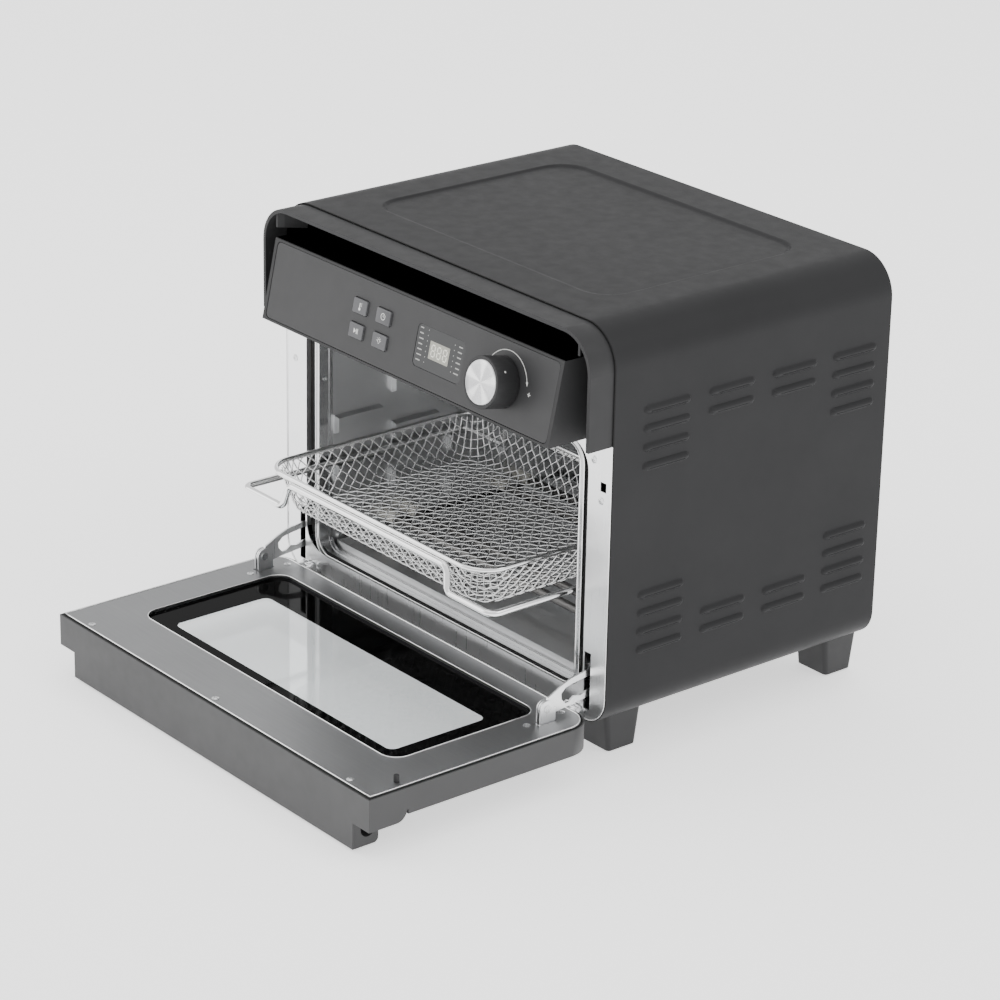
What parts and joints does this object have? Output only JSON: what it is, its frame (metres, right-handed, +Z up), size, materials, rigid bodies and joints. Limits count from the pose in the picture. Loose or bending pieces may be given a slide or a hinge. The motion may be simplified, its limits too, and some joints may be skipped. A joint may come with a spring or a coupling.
{
  "type": "toaster oven",
  "caption": "Countertop air-fryer toaster oven with a drop-down glass door, wire basket, fan, heaters and a leaning control panel with knob and buttons",
  "frame": {"origin": "bottom centre of the whole object with the door open, on the table plane", "axes": "+X to the right seen from the front, +Y from the door towards the back, +Z up"},
  "size_m": [0.382, 0.4841, 0.336],
  "materials": {
    "casing_black": "satin black powder coat with a fine grain",
    "plastic_black": "fine matte texture",
    "plastic_grey": "fine matte texture",
    "rubber_black": "soft matte",
    "key_grey": "smooth matte",
    "stainless": "satin stainless",
    "cavity_steel": "satin grey sheet",
    "panel_steel": "satin grey sheet",
    "bright_wire": "polished wire",
    "bright_metal": "plated steel",
    "spun_aluminium": "radially spun",
    "heater_sheath": "heat-darkened sheath",
    "ceramic_white": "unglazed ceramic look",
    "motor_steel": "plated sheet",
    "door_glass": "clear with a black border",
    "clear_glass": "clear",
    "display_tint": "smoked window",
    "display_white": "pale diffuser",
    "board_green": "solder mask",
    "board_brown": "bare board"
  },
  "bodies": {
    "casing": {"outer_wrap": "casing_black", "bottom_plate": "casing_black", "rear_cover": "casing_black", "foot_front_left": "plastic_black", "foot_front_right": "plastic_black", "foot_rear_left": "plastic_black", "foot_rear_right": "plastic_black", "foot_pads": "rubber_black", "front_plate": "stainless", "hood": "plastic_black", "panel_housing": "plastic_grey", "fascia": "plastic_grey", "display_window": "display_tint", "display_module": "display_white", "control_board": "board_green", "encoder": "motor_steel", "cavity_ring": "cavity_steel", "cavity_left_wall": "cavity_steel", "cavity_right_wall": "cavity_steel", "cavity_floor": "cavity_steel", "cavity_roof": "cavity_steel", "cavity_rear_wall": "cavity_steel", "crumb_tray": "cavity_steel", "lower_heaters": "heater_sheath", "upper_heater": "heater_sheath", "heater_insulators": "ceramic_white", "fan_guard": "bright_metal", "fan_motor": "motor_steel", "lamp_housing": "motor_steel", "lamp_bulb": "clear_glass", "lamp_lens": "clear_glass", "temperature_probe": "bright_metal", "thermal_cutout": "ceramic_white", "power_board": "board_brown", "door_switch": "plastic_black", "hinge_pins": "stainless", "hinge_springs": "motor_steel", "cord_grommet": "rubber_black", "body_screws": "bright_metal"},
    "door": {"door_shell": "plastic_grey", "door_handle": "plastic_grey", "door_inner_panel": "panel_steel", "door_outer_glass": "door_glass", "door_inner_glass": "door_glass", "door_screws": "bright_metal", "switch_pin": "plastic_black", "hinge_brackets": "stainless", "hinge_rivets": "bright_metal"},
    "arm_left": {"hinge_arm_left": "stainless"},
    "arm_right": {"hinge_arm_right": "stainless"},
    "basket": {"basket_mesh": "bright_wire", "basket_rim": "bright_wire", "basket_frame": "bright_wire"},
    "knob": {"knob_body": "plastic_black", "knob_cap": "spun_aluminium"},
    "fan": {"convection_fan": "spun_aluminium"},
    "button_temperature": {"button_temperature": "key_grey"},
    "button_time": {"button_time": "key_grey"},
    "button_start": {"button_start": "key_grey"},
    "button_lamp": {"button_lamp": "key_grey"}
  },
  "joints": [
    {"name": "door_hinge", "type": "hinge", "parent": "casing", "child": "door", "pos_m": [0, -0.03535, 0.0456], "axis": [-1, 0, 0], "range_deg": [0, 90]},
    {"name": "arm_left_rivet", "type": "hinge", "parent": "door", "child": "arm_left", "pos_m": [-0.1694, -0.06975, 0.0587], "axis": [-1, 0, 0], "range_deg": [-56, 0]},
    {"name": "arm_right_rivet", "type": "hinge", "parent": "door", "child": "arm_right", "pos_m": [0.1694, -0.06975, 0.0587], "axis": [-1, 0, 0], "range_deg": [-56, 0]},
    {"name": "basket_slide", "type": "slide", "parent": "casing", "child": "basket", "axis": [0, 1, 0], "range_m": [0, 0.084]},
    {"name": "knob_turn", "type": "hinge", "parent": "casing", "child": "knob", "pos_m": [0.1086, -0.06441, 0.28243], "axis": [0, -0.9781, 0.2079], "continuous": true},
    {"name": "fan_turn", "type": "hinge", "parent": "casing", "child": "fan", "pos_m": [0, 0.10025, 0.27], "axis": [0, 0, 1], "continuous": true},
    {"name": "button_temperature_press", "type": "slide", "parent": "casing", "child": "button_temperature", "axis": [0, 0.9781, -0.2079], "range_m": [0, 0.0009], "stiffness_N_per_m": 600, "springref_m": -0.001},
    {"name": "button_time_press", "type": "slide", "parent": "casing", "child": "button_time", "axis": [0, 0.9781, -0.2079], "range_m": [0, 0.0009], "stiffness_N_per_m": 600, "springref_m": -0.001},
    {"name": "button_start_press", "type": "slide", "parent": "casing", "child": "button_start", "axis": [0, 0.9781, -0.2079], "range_m": [0, 0.0009], "stiffness_N_per_m": 600, "springref_m": -0.001},
    {"name": "button_lamp_press", "type": "slide", "parent": "casing", "child": "button_lamp", "axis": [0, 0.9781, -0.2079], "range_m": [0, 0.0009], "stiffness_N_per_m": 600, "springref_m": -0.001}
  ],
  "couplings": [
    {"joint": "basket_slide", "follows": "door_hinge", "m_per_rad": 0.053476},
    {"joint": "arm_left_rivet", "follows": "door_hinge", "ratio": -0.622},
    {"joint": "arm_right_rivet", "follows": "door_hinge", "ratio": -0.622}
  ]
}
